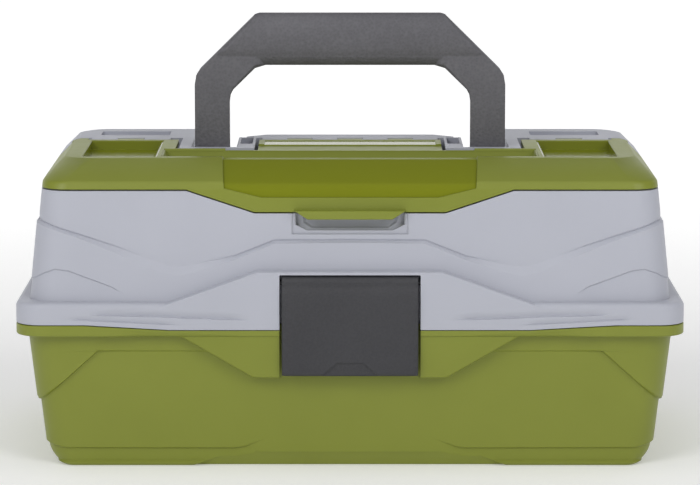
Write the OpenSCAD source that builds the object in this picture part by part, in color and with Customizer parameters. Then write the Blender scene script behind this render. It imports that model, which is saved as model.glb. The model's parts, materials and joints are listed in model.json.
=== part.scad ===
// One-tray fishing tackle box: base, lid with a top compartment and its cover, fold-down handle,
// latch, and a tray that rises on two pairs of arms as the lid opens.
// Millimetres. X to the right, -Y to the front, +Z up. The origin is the middle of the resting face.

/* [Box] */
// Width across the rims
box_w = 343; // [330:1:380]
// Depth across the rims
box_d = 190; // [186:1:210]
// Height of the face where the lid meets the base
base_h = 76; // [74:1:84]
// Height of the closed box up to its top deck
box_h = 158; // [156:1:172]
// Wall thickness of the moulded shells
wall = 2.4; // [2:0.1:2.8]
// Radius of the upright corners
corner_r = 14; // [11:0.5:18]
// Running gap between pieces that move past each other
gap = 0.3; // [0.2:0.05:0.4]

/* [Base] */
// Height of the rim round the top of the base
rim_h = 5.5; // [4:0.5:7]
// How far that rim stands out from the wall
rim_out = 5.5; // [5:0.5:7]
// Lean of the base walls, in millimetres for each millimetre of height
base_draft = 0.105; // [0.08:0.005:0.13]
// Radius of the edge round the bottom
bottom_r = 10.5; // [6:0.5:12]
// Height of the drawn-in foot
foot_h = 11.5; // [11:0.5:14]
// How far the foot is drawn in
foot_step = 1.4; // [0.8:0.1:2]
// How far the corner panels stand out from the front and rear faces
panel_out = 1.8; // [1:0.1:2.2]
// Height at which the corner panels start
panel_z = 34; // [28:1:40]
// Height of the upper edge of the face between the corner panels
face_top_z = 61.7; // [56:0.5:64]

/* [Lid] */
// Height of the rim round the bottom of the lid
lid_rim_h = 11.5; // [9:0.5:13]
// How far that rim stands out from the wall
lid_rim_out = 6.3; // [5.8:0.1:7.5]
// Lean of the lid walls, in millimetres for each millimetre of height
lid_draft = 0.098; // [0.08:0.002:0.12]
// How far the lower panel of the lid stands out along its crease
crease_out = 1; // [0.6:0.1:1.4]
// Height of the crease at the corners
crease_z = 128; // [124:0.5:130]
// Height of the rounded shoulder under the deck, which is the skirt of the cover
shoulder_h = 14; // [12:0.5:15]
// Inset of the wall from the rim at the foot of that shoulder
shoulder_in = 14; // [13:0.5:15]
// Inset of the deck from the rim at the sides
deck_in = 25.5; // [24:0.5:28]
// Inset of the ridge along the front of the deck
ridge_in = 35; // [32:0.5:38]
// Drop of the lip in the middle of the front, below the skirt
lip_drop = 11.3; // [9:0.1:12]

/* [Top compartment] */
// Inside half width of the compartment
well_x = 132; // [126:1:136]
// Depth of the compartment floor below the deck
well_depth = 28; // [22:1:30]
// Thickness of the partitions in the compartment
partition = 1.8; // [1.4:0.1:2.4]

/* [Cover] */
// Distance of the cover hinge in front of the rear rim
cover_hinge_in = 71; // [69:0.5:73]
// Radius of the cover hinge barrel
cover_barrel_r = 2.8; // [2.6:0.1:3]
// Radius of the cover hinge rods
cover_rod_r = 0.9; // [0.8:0.05:1.1]
// Depth of the pockets in the top of the cover
pocket_depth = 4.8; // [3:0.2:5]

/* [Handle] */
// Distance of the handle's pivot in front of the cover's hinge
handle_in = 29; // [28:0.5:31]
// Outside width across the legs
handle_w = 164.6; // [156:0.2:168]
// Width of each leg
leg_w = 18.3; // [14:0.1:20]
// Thickness of the handle from front to rear, folded flush with the deck
handle_t = 14; // [11:0.5:15]
// Height of the grip's underside above the pivot
grip_under = 49.9; // [46:0.1:52]
// Height of the grip from its underside to its top
grip_t = 27.9; // [22:0.1:28]
// Side clearance between a leg and its channel
leg_gap = 1.9; // [1:0.1:2.2]
// Radius of the handle pins
handle_pin_r = 2; // [1.6:0.1:2.4]

/* [Latch] */
// Width of the latch
latch_w = 68; // [60:1:74]
// Side gap between the latch and its slot
latch_gap = 2; // [1:0.1:3]
// Height of the lower edge of the latch
latch_foot_z = 50; // [46:1:54]
// Height of the latch pin above the base's upper face
latch_pin_up = 22; // [20:0.5:24]
// Radius of the latch pin
latch_pin_r = 1.3; // [1:0.1:1.6]

/* [Lid hinge] */
// Radius of the lid hinge barrel
barrel_r = 4; // [3.4:0.1:4.4]
// Radius of the lid hinge pins
hinge_pin_r = 1.5; // [1.2:0.1:2]
// Length of one knuckle
knuckle = 16; // [13:0.5:17]
// Distance of the middle of each hinge from the middle of the box
hinge_x = 90; // [84:1:100]

/* [Tray and arms] */
// Room between each end of the tray and the outside of the rims
tray_room = 21.5; // [21:0.5:27.5]
// Height of the tray floor's underside
tray_z = 50; // [46:1:54]
// Height of the tray
tray_h = 40; // [34:1:42]
// Wall thickness of the tray
tray_wall = 2; // [1.6:0.1:2.4]
// Thickness of the moulded tray arms
arm_t = 2.8; // [2.2:0.1:3]
// Thickness of the steel links between the tray and the lid
link_t = 1.6; // [1.2:0.1:2]
// Half width of an arm
arm_r = 6; // [5:0.5:6.5]
// Radius of the rivets
rivet_r = 2; // [1.6:0.1:2.4]
// Thickness of a tray divider
divider_t = 1.6; // [1.2:0.1:2]

/* [Hidden] */
$fn = 48;

green = [0.47, 0.5, 0.2];
pale_gray = [0.68, 0.69, 0.73];
dark_gray = [0.27, 0.27, 0.29];
steel = [0.72, 0.73, 0.74];

corner_steps = 6;   // straight pieces in each rounded corner
pin_fit = 0.08;     // clearance of a pin in its bore, on the radius
far = 400;          // longer than the box, for cuts that run right through

half_w = box_w / 2;
half_d = box_d / 2;
seam_z = box_h - shoulder_h;              // where the cover's skirt meets the lid
lid_rim_top = base_h + lid_rim_h;
knee = 9;                                 // drop from the deck to the steep band's upper edge

tray_x = half_w - tray_room;              // half length of the tray
cover_axis = [half_d - cover_hinge_in, box_h - cover_barrel_r];

// The tray linkage, seen from the side. Lid hinge, arm pivots and link pivots stand on two
// parallelograms with the same crank, so every arm turns with the lid and the tray stays level.
hinge = [half_d + 1, base_h];
crank = [-50, 8];
rear_pivot = hinge + [-24, -12];
front_pivot = rear_pivot + [-68, 0];
rear_tray_pin = rear_pivot + crank;
front_tray_pin = front_pivot + crank;
link_pin = hinge + crank;
arm_x = tray_x + 2 * gap;                 // inner face of the arms
link_x = arm_x + arm_t + 2 * gap;         // inner face of the lid links
link_boss_x = link_x + link_t + 2 * gap;  // inner end of the lid's bosses
boss_r = arm_r - 0.5;

// Latch
latch_axis = [-half_d + 3.4, base_h + latch_pin_up];
latch_barrel_r = 3;
slot_x = latch_w / 2 + latch_gap;
latch_face = 5.4;                         // how far the latch's face stands in front of its pin

// Handle
handle_axis = [cover_axis[0] - handle_in, box_h - handle_t / 2];
leg_out = handle_w / 2;
leg_in = leg_out - leg_w;
channel_out = leg_out + leg_gap;
channel_in = leg_in - 2 * leg_gap;
channel_floor = box_h - handle_t - 0.7;
pod_in = channel_in - 9.5;                // the lid's blocks that carry the handle
pod_out = channel_out + 6.3;
pod_front = handle_axis[0] - handle_t / 2 - 5;
trench_front = handle_axis[0] + grip_under - 1.4;
trench_rear = handle_axis[0] + grip_under + grip_t + 1.4;
pod_pocket = [handle_axis[0] + handle_t / 2, trench_front - 9.5];   // hollow in each block's top

// Top compartment and cover
deck_front = cover_axis[0] + cover_barrel_r + 1;
cover_rear = cover_axis[0] - cover_barrel_r - 0.8;
well_front = -half_d + ridge_in - 2;
well_rear = cover_axis[0] - 6;
well_floor = box_h - well_depth;
well_rim_z = box_h - pocket_depth - wall - 1.8;
joint_off = 0.5;                          // how far the seams between solids lie off the walls
notch_gap = 1;
lip_half = 48.9;                          // half width of the lip at its foot
lip_top_half = 83.3;                      // and where it leaves the skirt
scoop_in = 1;                             // depth of the flatter field in the cover's front
channel_x = 98;                           // half width of the hollow along the cover's front
ridge_flat = 8;                           // flat top of the ridge along the cover's front
side_zone = [pod_out + 6.5, half_w - deck_in - 6];         // hinge knuckles beside the handle
pocket = [[side_zone[0] + 3, side_zone[1] - 1],            // side pocket: across, front to rear
          [-half_d + ridge_in + ridge_flat - 1, cover_rear - 4.3]];
hollow = [-half_d + ridge_in + ridge_flat, pod_front - notch_gap - wall];   // front hollow
centre_zone = [-47.6, 47.6];              // and between its legs

// Tray
tray_front = -half_d + 19;
tray_rear = half_d - 37;
tray_mid = (tray_front + tray_rear) / 2;
front_row = [tray_front + tray_wall, tray_mid - tray_wall / 2];
rear_row = [tray_mid + tray_wall / 2, tray_rear - tray_wall];
rib = 1.2;
slot_pitch = 50;
front_dividers = [-slot_pitch, slot_pitch];
rear_dividers = [-2 * slot_pitch, 0, 2 * slot_pitch];

// ---------- shapes that several pieces share ----------

// Rounded rectangle of half width hx from yf to yr, counter-clockwise, at height z.
function ring(hx, yf, yr, r, z) = [
    for (c = [0:3]) for (i = [0:corner_steps])
        let (a = 90 * (c + i / corner_steps), q = max(r, 0.6))
        [(c == 0 || c == 3 ? hx - q : q - hx) + q * cos(a),
         (c < 2 ? yr - q : yf + q) + q * sin(a), z]];

// Solid through a list of rings that all have the same number of points.
module loft(rings) {
    n = len(rings[0]);
    last = len(rings) - 1;
    sides = [for (k = [0:last - 1]) for (i = [0:n - 1])
        let (j = (i + 1) % n, a = k * n + i, b = a + n, c = k * n + j + n, d = k * n + j)
        each [[a, b, c], [a, c, d]]];
    foot = [for (i = [0:n - 1]) i];
    head = [for (i = [n - 1:-1:0]) last * n + i];
    polyhedron([for (r = rings) each r], concat([foot], sides, [head]), convexity = 8);
}

// Cylinder along X round the point [y, z].
module rod(at, r, x0, x1) {
    translate([x0, at[0], at[1]]) rotate([0, 90, 0]) cylinder(r = r, h = x1 - x0);
}

// Outline of [x, z] points, run from y0 to y1.
module front_prism(points, y0, y1) {
    translate([0, y1, 0]) rotate([90, 0, 0]) linear_extrude(y1 - y0) polygon(points);
}

// Outline of [y, z] points, run from x0 to x1.
module side_prism(points, x0, x1) {
    translate([x0, 0, 0]) rotate([90, 0, 90]) linear_extrude(x1 - x0) polygon(points);
}

module box(x, y, z) {
    translate([x[0], y[0], z[0]]) cube([x[1] - x[0], y[1] - y[0], z[1] - z[0]]);
}

module both_sides() {
    children();
    mirror([1, 0, 0]) children();
}

// The right half of an outline and its mirror image, as one closed outline.
function mirrored(points) = concat(points, [for (i = [len(points) - 1:-1:0]) [-points[i][0], points[i][1]]]);

// Four-sided block between a front face and a rear face, each a half outline of [x, z] points.
module apron(front, front_y, rear, rear_y) {
    function place(p, y) = [for (q = [[-p[0][0], p[0][1]], p[0], p[1], [-p[1][0], p[1][1]]]) [q[0], y(q[1]), q[1]]];
    loft([place(front, front_y), place(rear, rear_y)]);
}

// ---------- base ----------

function base_x(z) = half_w - rim_out - base_draft * (base_h - rim_h - z);
function base_y(z) = half_d - rim_out - base_draft * (base_h - rim_h - z);
function base_ring(z, inset) =
    ring(base_x(z) - inset, inset - base_y(z), base_y(z) - inset, corner_r - inset, z);

module base_wall() {
    foot_in = panel_out + foot_step;
    loft([
        for (a = [0:22.5:90]) base_ring(bottom_r * (1 - cos(a)), foot_in + bottom_r * (1 - sin(a))),
        base_ring(foot_h, foot_in),
        base_ring(foot_h + 1, panel_out),
        base_ring(base_h - rim_h / 2, panel_out)]);
}

// The side walls and corners, which stand out beside the flat front and rear faces.
module base_panels() {
    edge = base_x(panel_z) - panel_out - 1;
    difference() {
        loft([base_ring(panel_z - 1, panel_out + 1), base_ring(panel_z + 0.4, 0),
              base_ring(base_h - rim_h / 2, 0)]);
        front_prism(mirrored([[edge - 30, face_top_z], [edge, panel_z], [edge, panel_z - 5]]), -far, far);
    }
}

module rim(z0, z1) {
    loft([ring(half_w - 0.6, 0.6 - half_d, half_d - 0.6, corner_r, z0),
          ring(half_w, -half_d, half_d, corner_r, z0 + 0.6),
          ring(half_w, -half_d, half_d, corner_r, z1)]);
}

module base_room() {
    loft([
        for (a = [0:30:90])
            base_ring(wall + bottom_r * (1 - cos(a)), panel_out + foot_step + wall + bottom_r * (1 - sin(a))),
        base_ring(panel_z, panel_out + wall),
        base_ring(panel_z + 4, wall + 0.4),
        base_ring(base_h + 1, wall + 0.4)]);
}

// The middle of the lid's front edge reaches down a little into the base's rim.
module rim_dip(slack) {
    front_prism(mirrored([[135 + slack, base_h + 1], [135 + slack, base_h], [92 + slack, base_h - 2 - slack],
                          [36, base_h - 2.1 - slack]]), -far, -half_d + lid_rim_out + slack);
}

module base_apron() {
    bottom = latch_foot_z - 1.4;
    face = function (z) -half_d + 1 + 0.11 * (base_h - z);
    inside = function (z) -base_y(bottom) + panel_out + 0.8;
    apron([[85.5, base_h - 1], [50.3, bottom]], face, [[88.5, base_h - 1], [52, bottom - 1.6]], inside);
}

// Every other knuckle of one lid hinge, from the outer end; the first one is the base's.
module lid_knuckles(first, r, slack) {
    for (k = [first:2:4])
        rod(hinge, r, hinge_x + (k - 2.5) * knuckle - slack, hinge_x + (k - 1.5) * knuckle + slack);
}

module base_knuckle_webs() {
    for (k = [0:2:4])
        box([hinge_x + (k - 2.5) * knuckle, hinge_x + (k - 1.5) * knuckle],
            [half_d - rim_out - 1, hinge[0]], [base_h - barrel_r, base_h]);
}

module arm_bosses() {
    for (p = [front_pivot, rear_pivot])
        rod(p, boss_r, link_x, base_x(p[1]) - wall / 2);
}

module base_shell() {
    color(green) difference() {
        union() {
            difference() {
                union() {
                    base_wall();
                    base_panels();
                    rim(base_h - rim_h, base_h);
                    base_apron();
                    both_sides() {
                        lid_knuckles(0, barrel_r, 0);
                        base_knuckle_webs();
                    }
                }
                base_room();
                rim_dip(gap);
                // the slot that the latch closes into
                box([-slot_x, slot_x], [-far, -half_d + rim_out], [latch_foot_z - 6, base_h + 1]);
                // chamfer under the front
                front_chamfer();
                both_sides() lid_knuckles(1, barrel_r + 0.4, gap);
            }
            both_sides() arm_bosses();
            latch_catch();
        }
        both_sides() {
            rod(hinge, hinge_pin_r + pin_fit, hinge_x - 2.5 * knuckle - 1, hinge_x + 2.5 * knuckle + 1);
            for (p = [front_pivot, rear_pivot])
                rod(p, rivet_r + pin_fit, link_x - 1, link_x + 5);
        }
    }
}

module front_chamfer() {
    apron([[60, 7.5], [84, -1]], function (z) -far, [[60, 7.5], [84, -1]],
          function (z) -base_y(0) + panel_out + foot_step + bottom_r / 2 - 0.62 * z);
}

// The ledge that the latch's nose snaps under.
module latch_catch() {
    box([-18, 18], [-half_d + 2.8, -half_d + rim_out + wall / 2], [base_h - 10, base_h - 6.5]);
}

// ---------- lid ----------

function lid_x(z) = half_w - lid_rim_out - lid_draft * (z - lid_rim_top);
function lid_y(z) = half_d - lid_rim_out - lid_draft * (z - lid_rim_top);
function lid_ring(z, inset) =
    ring(lid_x(z) - inset, inset - lid_y(z), lid_y(z) - inset, corner_r - inset, z);

// Insets of the shoulder from the rim at a depth below the deck: an ellipse at the sides and the
// rear, and at the front a steep band with a flat slope above it.
function round_in(drop, top_in) =
    shoulder_in + (top_in - shoulder_in) * (1 - sqrt(1 - pow(1 - drop / shoulder_h, 2)));
function front_in(drop) = drop >= knee
    ? shoulder_in + 1.5 * (shoulder_h - drop) / (shoulder_h - knee)
    : shoulder_in + 1.5 + (ridge_in - shoulder_in - 1.5) * (knee - drop) / knee;
function top_ring(drop, t) =
    ring(half_w - round_in(drop, deck_in) - t, -half_d + front_in(drop) + t,
         half_d - round_in(drop, deck_in - 0.5) - t, corner_r - t, box_h - drop - t);
top_drops = [14, 9, 5.5, 3, 1.2, 0] * shoulder_h / 14;

// The closed outer form of the lid and its cover, drawn in by t.
module lid_form(t, foot) {
    loft([lid_ring(foot, crease_out + t), lid_ring(crease_z, crease_out + t),
          for (d = top_drops) top_ring(d, t)]);
}

module lid_panel() {
    edge = lid_x(crease_z);
    v = [88, base_h + 27.2];
    intersection() {
        loft([lid_ring(lid_rim_top - 2, 0), lid_ring(crease_z, 0), lid_ring(crease_z + 0.8, crease_out + 1)]);
        front_prism(mirrored([[far, base_h], [far, crease_z + 1], [edge, crease_z], [edge - 25, crease_z - 8],
                              v, [38.5, crease_z - 10]]), -far, far);
    }
}

module lid_rim() {
    loft([ring(half_w, -half_d, half_d, corner_r, base_h + gap),
          ring(half_w, -half_d, half_d, corner_r, lid_rim_top - 2),
          ring(half_w - 0.8, 0.8 - half_d, half_d - 0.8, corner_r, lid_rim_top - 0.6),
          ring(half_w - 2.4, 2.4 - half_d, half_d - 2.4, corner_r, lid_rim_top)]);
}

module lid_rim_dip() {
    intersection() {
        rim_dip(0);
        loft([for (z = [base_h - 3, base_h + 2]) ring(half_w, -half_d, half_d, corner_r, z)]);
    }
}

module lid_apron() {
    top = base_h + 27.5;
    face = function (z) -half_d + 0.4 + 0.06 * (z - base_h);
    inside = function (z) -lid_y(top) + wall / 2;
    apron([[47.9, top - 1], [92.7, lid_rim_top - 1]], face, [[47.9, top], [97, lid_rim_top - 1]], inside);
}

// The space under the lid, with what hangs into it left solid.
module lid_room() {
    ceiling = seam_z - wall;
    difference() {
        union() {
            loft([ring(half_w - wall, wall - half_d, half_d - wall, corner_r - wall, base_h - 5),
                  ring(half_w - wall, wall - half_d, half_d - wall, corner_r - wall, lid_rim_top - wall)]);
            lid_form(wall, base_h);
        }
        difference() {
            box([-well_x - wall, well_x + wall], [well_front - wall, well_rear + wall], [well_floor - wall, far]);
            both_sides()
                box([pod_in + wall, pod_out - wall], [pod_front + wall, far], [0, channel_floor - wall]);
        }
        box([-far, far], [-far, deck_front + wall], [ceiling, far]);
        lip_zone(-wall, well_front);
        handle_channel(wall);
        both_sides() deck_pocket(wall);
        // solid behind the latch slot, the finger recess and the hinges
        box([-slot_x - wall, slot_x + wall], [-far, -half_d + rim_out + wall], [0, lid_rim_top + 2]);
        box([-33, 33], [-far, -lid_y(seam_z) + 4 + wall], [seam_z - 26, seam_z]);
        both_sides() box([hinge_x - 2.6 * knuckle, hinge_x + 2.6 * knuckle],
            [half_d - lid_rim_out, far], [0, base_h + barrel_r + wall]);
    }
}

// The front part of the space above the seam, where the cover's lip reaches down.
module lip_zone(down, back) {
    front_prism(mirrored([[lip_top_half + 4, far], [lip_top_half + 4, seam_z + down],
                          [lip_top_half, seam_z + down], [lip_half, seam_z - lip_drop + down]]), -far, back);
}

// Where the cover sits: all that lies above the seam, but for the compartment's rim and the blocks
// that carry the handle.
module cover_seat() {
    difference() {
        union() {
            box([-far, far], [-far, deck_front], [seam_z, far]);
            lip_zone(0, well_front - wall - 2);
        }
        box([-well_x - wall, well_x + wall], [well_front - wall, well_rear + wall], [0, well_rim_z]);
        both_sides() box([pod_in, pod_out], [pod_front, far], [0, far]);
    }
}

module well() {
    difference() {
        box([-well_x, well_x], [well_front, well_rear], [well_floor, far]);
        both_sides() {
            box([pod_in, pod_out], [pod_front, far], [0, far]);
            box([(pod_in + pod_out - partition) / 2, (pod_in + pod_out + partition) / 2],
                [-far, pod_front + 1], [0, well_rim_z - 4]);
        }
    }
}

// The U-shaped channel that the handle folds into, grown by t for the walls round it.
module handle_channel(t) {
    floor_z = channel_floor - t;
    both_sides()
        box([channel_in - t, channel_out + t],
            [handle_axis[0] - handle_t / 2 - 0.5 - t, trench_rear + t], [floor_z, far]);
    box([-channel_out - t, channel_out + t], [trench_front - t, trench_rear + t], [floor_z, far]);
    // the inner corners, cut across to follow the handle's shoulders
    translate([0, -t, floor_z]) linear_extrude(far) both_sides()
        polygon([[channel_in - t - 14.7, trench_front], [channel_in - t, trench_front - 13],
                 [channel_in + 1, trench_front - 13], [channel_in + 1, trench_front + 1 + t],
                 [channel_in - t - 14.7, trench_front + 1 + t]]);
}

module deck_pocket(t) {
    box([98.5 - t, 136 + t], [half_d - 54 - t, half_d - 37 + t], [box_h - 4 - t, far]);
}

// Knuckle k of n in a hinge zone along the cover's rear edge.
function zone_x(zone, n, k) = zone[0] + (zone[1] - zone[0]) * k / n;
module cover_knuckles(zone, n, first, r, web, slack) {
    for (k = [first:2:n - 1]) {
        x = [zone_x(zone, n, k) + slack, zone_x(zone, n, k + 1) - slack];
        rod(cover_axis, r, x[0], x[1]);
        box(x, web, [cover_axis[1] - cover_barrel_r, box_h]);
    }
}

// The whole moulding of the lid. It is held as three solids that meet face to face: the walls with
// the rim, the tub of the compartment, and the deck behind it.
module lid_body() {
    difference() {
        union() {
            difference() {
                union() {
                    lid_form(0, base_h + gap);
                    lid_panel();
                    lid_rim();
                    lid_rim_dip();
                    lid_apron();
                }
                lid_room();
                cover_seat();
                well();
                handle_channel(0);
                // the rear wall is low where a finger lifts the folded handle
                box([-channel_out, channel_out], [trench_front, far], [box_h - handle_t / 2, far]);
                both_sides() {
                    deck_pocket(0);
                    box([pod_in + 1.5, channel_in - 1.5], pod_pocket, [box_h - 8, far]);
                    lid_knuckles(0, barrel_r + 0.4, gap);
                }
                latch_slot();
                finger_recess();
            }
            both_sides() {
                lid_knuckles(1, barrel_r, -gap);
                lid_knuckle_webs();
                link_boss();
                cover_knuckles(side_zone, 3, 0, cover_barrel_r, [cover_axis[0], deck_front + wall / 2], 0.15);
            }
            cover_knuckles(centre_zone, 7, 0, cover_barrel_r, [cover_axis[0], deck_front + wall / 2], 0.15);
        }
        both_sides() {
            rod(hinge, hinge_pin_r + pin_fit, hinge_x - 2.5 * knuckle - 1, hinge_x + 2.5 * knuckle + 1);
            rod(link_pin, rivet_r + pin_fit, link_boss_x - 1, link_boss_x + 5);
            rod(handle_axis, handle_pin_r + pin_fit, channel_in - 6, channel_out + 4);
            rod(cover_axis, cover_rod_r + pin_fit, side_zone[0] - 1, side_zone[1] + 1);
        }
        rod(cover_axis, cover_rod_r + pin_fit, centre_zone[0] - 1, centre_zone[1] + 1);
        rod(latch_axis, latch_pin_r + pin_fit, -slot_x - 6, slot_x + 6);
    }
}

module compartment_zone() {
    t = wall + joint_off;
    box([-well_x - t, well_x + t], [well_front - t, well_rear + t], [well_floor - t, far]);
}

module deck_zone() {
    box([-far, far], [well_rear + wall + joint_off, far], [channel_floor - wall - joint_off, far]);
}

module lid_shell() {
    color(pale_gray) difference() {
        lid_body();
        compartment_zone();
        deck_zone();
    }
}

module lid_compartment() {
    color(pale_gray) intersection() {
        lid_body();
        compartment_zone();
    }
}

module lid_deck() {
    color(pale_gray) intersection() {
        lid_body();
        deck_zone();
    }
}

module lid_knuckle_webs() {
    for (k = [1:2:3])
        box([hinge_x + (k - 2.5) * knuckle + gap, hinge_x + (k - 1.5) * knuckle - gap],
            [half_d - lid_rim_out, hinge[0] + barrel_r - 1.5], [base_h, base_h + barrel_r + 3]);
}

// Boss for the lid link's rivet, on a pad that fills the rim beside it.
module link_boss() {
    pad_x = lid_x(lid_rim_top) - wall - 1;
    rod(link_pin, boss_r, link_boss_x, pad_x + wall);
    box([pad_x, half_w - wall / 2], [link_pin[0] - boss_r, link_pin[0] + boss_r],
        [link_pin[1] - boss_r, lid_rim_top - wall / 2]);
}

module latch_slot() {
    box([-slot_x, slot_x], [-far, -half_d + lid_rim_out + 0.4], [0, latch_axis[1] + latch_barrel_r + 0.9]);
}

module finger_recess() {
    intersection() {
        box([-29.8, 29.8], [-far, 0], [seam_z - 22.2, seam_z - lip_drop + 1]);
        rod([-lid_y(seam_z) - 5.5, seam_z - 15], 9.5, -far, far);
    }
}

// ---------- top cover ----------

module cover_zone() {
    difference() {
        union() {
            box([-far, far], [-far, cover_rear], [seam_z + gap, far]);
            both_sides() box([side_zone[1] + 1.5, far], [-far, deck_front - 1.8], [seam_z + gap, far]);
            lip_zone(gap, well_front - wall - 2 - gap);
        }
        both_sides() box([pod_in - notch_gap, pod_out + notch_gap], [pod_front - notch_gap, far], [0, far]);
    }
}

// Pockets in the cover's top, with sloping walls, grown by t for the walls round them.
module cover_pockets(t) {
    bottom = box_h - pocket_depth - t;
    slope = 3;
    both_sides() pocket_cut(pocket[0], pocket[1], bottom, slope, t);
    pocket_cut([-channel_x, channel_x], hollow, bottom, slope, t);
}

module pocket_cut(x, y, bottom, slope, t) {
    mid = (x[0] + x[1]) / 2;
    half = (x[1] - x[0]) / 2 + t;
    translate([mid, 0, 0])
        loft([ring(half - slope, y[0] - t + slope, y[1] + t - slope / 3, 2, bottom),
              ring(half, y[0] - t, y[1] + t, 2, box_h + 0.01)]);
}

// The flatter field in the middle of the cover's front.
module cover_scoop() {
    difference() {
        front_prism(mirrored([[66, box_h + 1], [64.4, seam_z + 1], [45.3, seam_z - 3.6]]), -far, 0);
        lid_form(scoop_in, base_h);
    }
}

module cover_lip() {
    apron([[27.7, seam_z - lip_drop + 1.2], [21.6, seam_z - lip_drop - 2]],
          function (z) -half_d + 6.4,
          [[29.5, seam_z - lip_drop + 4], [22.6, seam_z - lip_drop + gap]],
          function (z) -lid_y(seam_z) + 1.6);
}

module cover_body() {
    web = [cover_rear - 1, cover_axis[0]];
    difference() {
        union() {
            difference() {
                intersection() {
                    lid_form(0, base_h);
                    cover_zone();
                }
                difference() {
                    lid_form(wall, base_h);
                    cover_pockets(wall);
                }
                cover_pockets(0);
                cover_scoop();
            }
            cover_lip();
            both_sides() cover_knuckles(side_zone, 3, 1, cover_barrel_r, web, 0.15);
            cover_knuckles(centre_zone, 7, 1, cover_barrel_r, web, 0.15);
        }
        both_sides() rod(cover_axis, cover_rod_r + pin_fit, side_zone[0] - 1, side_zone[1] + 1);
        rod(cover_axis, cover_rod_r + pin_fit, centre_zone[0] - 1, centre_zone[1] + 1);
    }
}

// The cover is one moulding, held as two solids: the part in front of the handle's legs and beside
// them, and the flat tongue between them.
module tongue_zone() {
    x = pod_in - notch_gap + joint_off;
    box([-x, x], [pod_front - notch_gap + joint_off / 2, far], [0, far]);
}

module top_cover() {
    color(green) difference() {
        cover_body();
        tongue_zone();
    }
}

module cover_tongue() {
    color(green) intersection() {
        cover_body();
        tongue_zone();
    }
}

// ---------- handle ----------

// Section of the handle between an inner and an outer point of its front outline, rounded by r.
function handle_ring(inner, outer, r) =
    let (span = norm(outer - inner), u = (outer - inner) / span)
    [for (c = [0:3]) for (i = [0:4])
        let (a = 90 * c + 22.5 * i,
             s = (c == 0 || c == 3 ? span - r : r) + r * cos(a),
             y = (c < 2 ? handle_t / 2 - r : r - handle_t / 2) + r * sin(a))
        [inner[0] + u[0] * s, handle_axis[0] + y, inner[1] + u[1] * s]];

module handle() {
    z = handle_axis[1];
    under = z + grip_under;
    top = under + grip_t;
    // half outline: inner point, outer point, edge radius, from the pivot up to the middle
    half = [
        [[leg_in, z], [leg_out, z], 1.2],
        [[leg_in, under - 19.5], [leg_out, under - 10], 1.4],
        [[leg_in - 0.6, under - 15.6], [leg_out - 0.8, under - 5], 2.4],
        [[leg_in - 2.2, under - 12.6], [leg_out - 3, under - 1.6], 3.4],
        [[leg_in - 13.6, under - 1.6], [leg_out - 32, top - 0.8], 5.6],
        [[leg_in - 19, under], [leg_out - 34.6, top], 6.2],
        [[leg_in - 26, under], [leg_out - 44, top], 6.2]];
    mirrored_half = [for (i = [len(half) - 1:-1:0])
        [[-half[i][0][0], half[i][0][1]], [-half[i][1][0], half[i][1][1]], half[i][2]]];
    color(dark_gray) difference() {
        union() {
            loft([for (s = concat(half, mirrored_half)) handle_ring(s[0], s[1], s[2])]);
            both_sides() rod(handle_axis, handle_t / 2, leg_in, leg_out);
        }
        both_sides() rod(handle_axis, handle_pin_r + pin_fit, leg_in - 1, leg_out + 1);
    }
}

module handle_pin(side) {
    color(steel) mirror([side < 0 ? 1 : 0, 0, 0])
        rod(handle_axis, handle_pin_r, channel_in - 5, channel_out + 3);
}

// ---------- latch ----------

module latch() {
    y = latch_axis[0];
    z = latch_axis[1];
    face = y - latch_face;
    back = face + 2.6;
    nose_z = base_h - 11;
    color(dark_gray) difference() {
        union() {
            rod(latch_axis, latch_barrel_r, -latch_w / 2, latch_w / 2);
            side_prism([
                [y - 3.4, z + 0.2], [y - 3.8, z - 4], [face + 0.3, z - 9], [face, z - 16],
                [face, base_h - 8], [face + 0.5, latch_foot_z + 6], [face + 1.4, latch_foot_z + 1],
                [back, latch_foot_z], [back + 0.4, latch_foot_z + 2], [back, latch_foot_z + 8],
                [back, nose_z - 3.5], [-half_d + 2.5, nose_z - 1.2], [-half_d + 2.5, nose_z],
                [back, nose_z + 0.8], [back, z - 8], [y + 1.4, z - 2.4]], -latch_w / 2, latch_w / 2);
        }
        // thumb scoop in the lower edge
        front_prism(mirrored([[16, latch_foot_z - 1], [13, latch_foot_z + 1.5], [6.3, latch_foot_z + 6.8]]),
            -far, back - 0.9);
        rod(latch_axis, latch_pin_r + pin_fit, -latch_w, latch_w);
    }
}

module latch_pin() {
    color(steel) rod(latch_axis, latch_pin_r, -slot_x - 5, slot_x + 5);
}

// ---------- hinge pins ----------

module lid_hinge_pins() {
    color(steel) both_sides()
        rod(hinge, hinge_pin_r, hinge_x - 2.5 * knuckle + 0.5, hinge_x + 2.5 * knuckle - 0.5);
}

module cover_hinge_rods() {
    color(steel) {
        both_sides() rod(cover_axis, cover_rod_r, side_zone[0] + 0.5, side_zone[1] - 0.5);
        rod(cover_axis, cover_rod_r, centre_zone[0] + 0.5, centre_zone[1] - 0.5);
    }
}

// ---------- tray ----------

module tray_row(y0, y1) {
    inner = tray_x - tray_wall;
    floor_z = tray_z + tray_wall;
    loft([ring(inner - 2, y0 + 1, y1 - 1, 5, floor_z), ring(inner - 1.2, y0, y1, 5, floor_z + 2.5),
          ring(inner, y0, y1, 5, tray_z + tray_h + 1)]);
}

// Pairs of ribs on both walls of a row, where a divider can stand.
module divider_slots(y0, y1) {
    half = divider_t / 2 + gap;
    for (k = [-2:2]) for (s = [-1, 1]) {
        x = k * slot_pitch + s * (half + rib / 2);
        for (y = [[y0 - 0.5, y0 + rib], [y1 - rib, y1 + 0.5]])
            box([x - rib / 2, x + rib / 2], y, [tray_z + tray_wall / 2, tray_z + tray_h - 3]);
    }
}

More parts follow.
